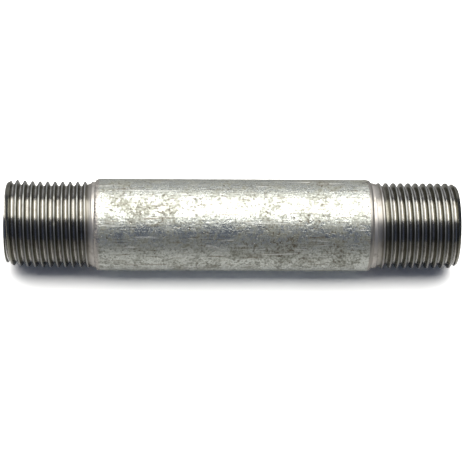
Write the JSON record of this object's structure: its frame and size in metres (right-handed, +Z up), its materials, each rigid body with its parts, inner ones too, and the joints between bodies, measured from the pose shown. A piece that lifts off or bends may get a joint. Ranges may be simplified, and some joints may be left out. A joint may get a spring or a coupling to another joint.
{
  "type": "threaded pipe nipple",
  "caption": "Galvanised steel pipe nipple: a straight tube with a plain zinc-coated barrel and a short male pipe thread cut at each end.",
  "frame": {"origin": "middle of the tube's axis", "axes": "+X along the tube towards the end with the longer thread run-out, +Z up; the tube lies on its barrel"},
  "size_m": [0.109, 0.0224, 0.0224],
  "materials": {
    "turned_steel": "turned bare steel",
    "cut_thread_steel": "die-cut bare steel with an oil film",
    "barrel_zinc": "hot-dip galvanised, mottled",
    "bore_zinc": "hot-dip galvanised, dull",
    "weld_steel": "welded, unground"
  },
  "bodies": {
    "root": {"steel_tube": "turned_steel", "left_thread": "cut_thread_steel", "right_thread": "cut_thread_steel", "barrel_zinc": "barrel_zinc", "bore_zinc": "bore_zinc", "weld_bead": "weld_steel"}
  },
  "joints": []
}
